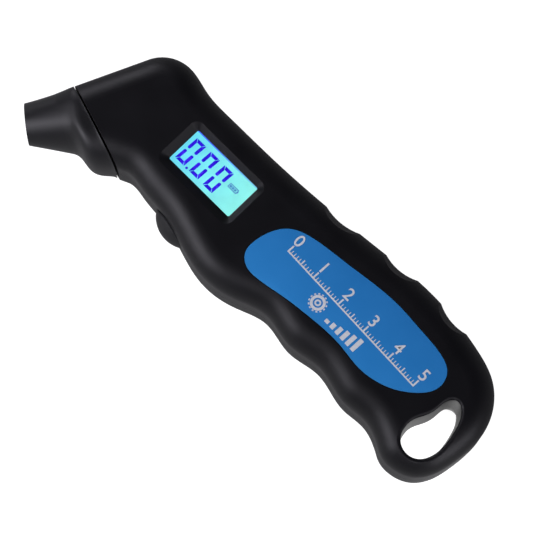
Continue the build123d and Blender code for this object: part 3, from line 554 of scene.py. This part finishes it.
def scale(shape):
    """A graduated scale with a number at every tenth tick."""
    start = -SCALE_LENGTH / 2
    for i in range(SCALE_STEPS + 1):
        x = start + i * SCALE_LENGTH / SCALE_STEPS
        length, width = next(tick for n, tick in SCALE_TICKS.items() if i % n == 0)
        shape.bar(x - width / 2 * MM, x + width / 2 * MM, SCALE_Y, SCALE_Y + length * MM)
        if i % NUMBER_STEP == 0:
            shape.number(str(i // NUMBER_STEP), x, SCALE_Y + NUMBER_LIFT, NUMBER_SIZE)
    shape.bar(start - SCALE_OVERHANG, -start + SCALE_OVERHANG, SCALE_Y - SCALE_LINE,
              SCALE_Y - SCALE_LINE_GAP)


def wheel(shape):
    """A wheel with tread blocks."""
    shape.ring(*WHEEL, *HUB)
    shape.ring(*WHEEL, *TYRE)
    foot, top = TREAD_HEIGHTS
    for t in round_turn(TREAD_BLOCKS):
        out, side = Vector((math.cos(t), math.sin(t))), Vector((-math.sin(t), math.cos(t)))
        base = Vector(WHEEL) + out * TYRE[1]
        shape.outline([tuple(base + side * a * TREAD_HALF_WIDTH + out * b)
                       for a, b in ((-1, foot), (1, foot), (1, top), (-1, top))])


def rising_level(shape):
    """A row of bars, each taller than the one before."""
    for i in range(LEVEL_BARS):
        x = LEVEL_START + LEVEL_PITCH * i
        shape.bar(x, x + LEVEL_WIDTH, LEVEL_FOOT, LEVEL_TOP + LEVEL_RISE * i)


def label_print():
    """The white print on the label: a pressure scale, a wheel and a rising level."""
    label_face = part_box("label_plate")[1].z
    shape = Print("label_print", label_face - PRINT_SINK, PRINT_THICKNESS, PRINT_CENTRE,
                  PRINT_TURN)
    scale(shape)
    wheel(shape)
    rising_level(shape)
    shape.piece(print_white())


reading()
label_print()


# ---- Studio -------------------------------------------------------------------------------

SENSOR = 36.0                   # in mm, like the lens
DISTANCE = 0.62
VIEW_WIDTH = 147.2 * MM
PITCH = math.radians(12)        # how far the camera leans off straight down
TURN = math.radians(45.4)       # the handle runs down to the right by this much
CENTRE_OFFSET = Vector((3.65, -2.225, 5.4)) * MM

# The camera's own directions along the floor, and what it looks at
RIGHT = Vector((math.cos(TURN), math.sin(TURN), 0))
AWAY = Vector((-math.sin(TURN), math.cos(TURN), 0))
TARGET = (Vector(cad_box[0]) + Vector(cad_box[1])) / 2 + CENTRE_OFFSET

# Softboxes: name, direction from the gauge (right, away, up), distance, size and power
SOFTBOXES = [
    ("left", (-0.95, -0.25, 0.70), 0.8, 0.45, 1.8),
    ("finger", (-0.99, -0.22, 0.45), 0.25, 0.18, 0.175),
    ("tail", (0.70, -0.71, 0.22), 0.8, 0.4, 1.4),
    ("front", (0.00, -0.80, 0.85), 0.8, 0.4, 1.35),
    ("behind", (-0.45, 0.85, 0.45), 0.8, 0.45, 1.7),
]
LAMP_COLOUR = 0.93, 0.91, 1.0

# Surroundings: how high each tone of the reflected sky lies, and its colour
SKY = [(0.10, (0.20, 0.20, 0.225, 1)), (0.75, (0.045, 0.045, 0.055, 1))]
BACKDROP = 0.97, 0.97, 0.97, 1              # what the camera sees beyond the floor

FLOOR_HALF = 3.0
FLOOR_DROP = 0.2 * MM           # gap between the gauge and the floor
FLOOR_TONES = (0.25, 0.25, 0.25), (0.3, 0.3, 0.3)
FINGER_GLOW, THUMB_GLOW = 0.22, 0.08        # how bright each side's floor is in reflections
GLOW_EDGES = -5 * MM, 10 * MM               # Y between which one turns into the other
HOLE_GLOW = 1.2
HOLE_REACH = 10 * MM, 16 * MM               # the hole's glow begins to fade, and is gone


def stand_camera():
    """Looks down on the gauge's front, from a little towards the bottom of the view."""
    back = Vector((0, 0, math.cos(PITCH))) - AWAY * math.sin(PITCH)
    up = AWAY * math.cos(PITCH) + Vector((0, 0, math.sin(PITCH)))
    camera = bpy.data.objects.new("camera", bpy.data.cameras.new("camera"))
    camera.data.sensor_width = SENSOR
    camera.data.lens = SENSOR * DISTANCE / VIEW_WIDTH
    camera.matrix_world = Matrix.Translation(TARGET + back * DISTANCE) @ Matrix(
        (RIGHT, up, back)).transposed().to_4x4()
    bpy.context.scene.collection.objects.link(camera)
    bpy.context.scene.camera = camera


def hang_softboxes():
    """Sets each softbox to face the gauge from its own side."""
    for name, (right, away, up), distance, size, power in SOFTBOXES:
        lamp = bpy.data.lights.new(name, "AREA")
        lamp.shape = "DISK"
        lamp.size = size
        lamp.energy = power
        lamp.color = LAMP_COLOUR
        holder = bpy.data.objects.new(name, lamp)
        direction = (RIGHT * right + AWAY * away + Vector((0, 0, up))).normalized()
        holder.location = TARGET + direction * distance
        holder.rotation_mode = "QUATERNION"
        holder.rotation_quaternion = direction.to_track_quat("Z", "Y")
        bpy.context.scene.collection.objects.link(holder)


def surroundings():
    """Dim in reflections, darker overhead than at the horizon, and near white to the camera."""
    world = bpy.data.worlds.new("studio")
    world.use_nodes = True
    nodes, links = world.node_tree.nodes, world.node_tree.links
    place = nodes.new("ShaderNodeTexCoord")
    parts = nodes.new("ShaderNodeSeparateXYZ")
    links.new(place.outputs["Generated"], parts.inputs[0])
    ramp = nodes.new("ShaderNodeValToRGB")
    for stop, (height, colour) in zip(ramp.color_ramp.elements, SKY):
        stop.position = height
        stop.color = colour
    links.new(parts.outputs["Z"], ramp.inputs["Fac"])
    seen = nodes.new("ShaderNodeLightPath")
    either = nodes.new("ShaderNodeMix")
    either.data_type = "RGBA"
    links.new(seen.outputs["Is Camera Ray"], either.inputs["Factor"])
    links.new(ramp.outputs["Color"], either.inputs["A"])
    either.inputs["B"].default_value = BACKDROP
    links.new(either.outputs["Result"], nodes["Background"].inputs["Color"])
    bpy.context.scene.world = world
    bpy.context.scene.view_settings.view_transform = "Standard"


def floor_look(height):
    """White to the camera and clear from below; in reflections bright only by the lanyard hole."""
    s = Shader("floor")
    hole = next(m for m in frame["record"]["mounts"] if m["name"] == "lanyard_hole")["pos_m"]
    gap = s.nodes.new("ShaderNodeVectorMath")
    gap.operation = "DISTANCE"
    gap.inputs[1].default_value = (hole[0], hole[1], height)
    s.links.new(s.place, gap.inputs[0])
    seen = s.nodes.new("ShaderNodeLightPath")
    far_glow = s.spread(s.axis("Y"), FINGER_GLOW, THUMB_GLOW, *GLOW_EDGES)
    glow = s.spread(gap.outputs["Value"], HOLE_GLOW, far_glow, *HOLE_REACH)
    glow = s.maths("MAXIMUM", glow, seen.outputs["Is Camera Ray"])
    s.set(Base_Color=s.mix(s.noise(40, 3), *FLOOR_TONES), Roughness=0.9,
          Emission_Color=(1, 1, 1, 1), Emission_Strength=glow)
    clear = s.nodes.new("ShaderNodeBsdfTransparent")
    side = s.nodes.new("ShaderNodeNewGeometry")
    both = s.nodes.new("ShaderNodeMixShader")
    s.links.new(side.outputs["Backfacing"], both.inputs["Fac"])
    s.links.new(s.surface.outputs[0], both.inputs[1])
    s.links.new(clear.outputs[0], both.inputs[2])
    s.links.new(both.outputs[0], s.nodes["Material Output"].inputs["Surface"])
    return s


def pale_floor():
    """A square floor just below the gauge."""
    r, z = FLOOR_HALF, cad_box[0][2] - FLOOR_DROP
    data = bpy.data.meshes.new("floor")
    data.from_pydata([(-r, -r, z), (r, -r, z), (r, r, z), (-r, r, z)], [], [(0, 1, 2, 3)])
    data.materials.append(floor_look(z).material)
    floor = bpy.data.objects.new("floor", data)
    bpy.context.scene.collection.objects.link(floor)


stand_camera()
hang_softboxes()
surroundings()
pale_floor()
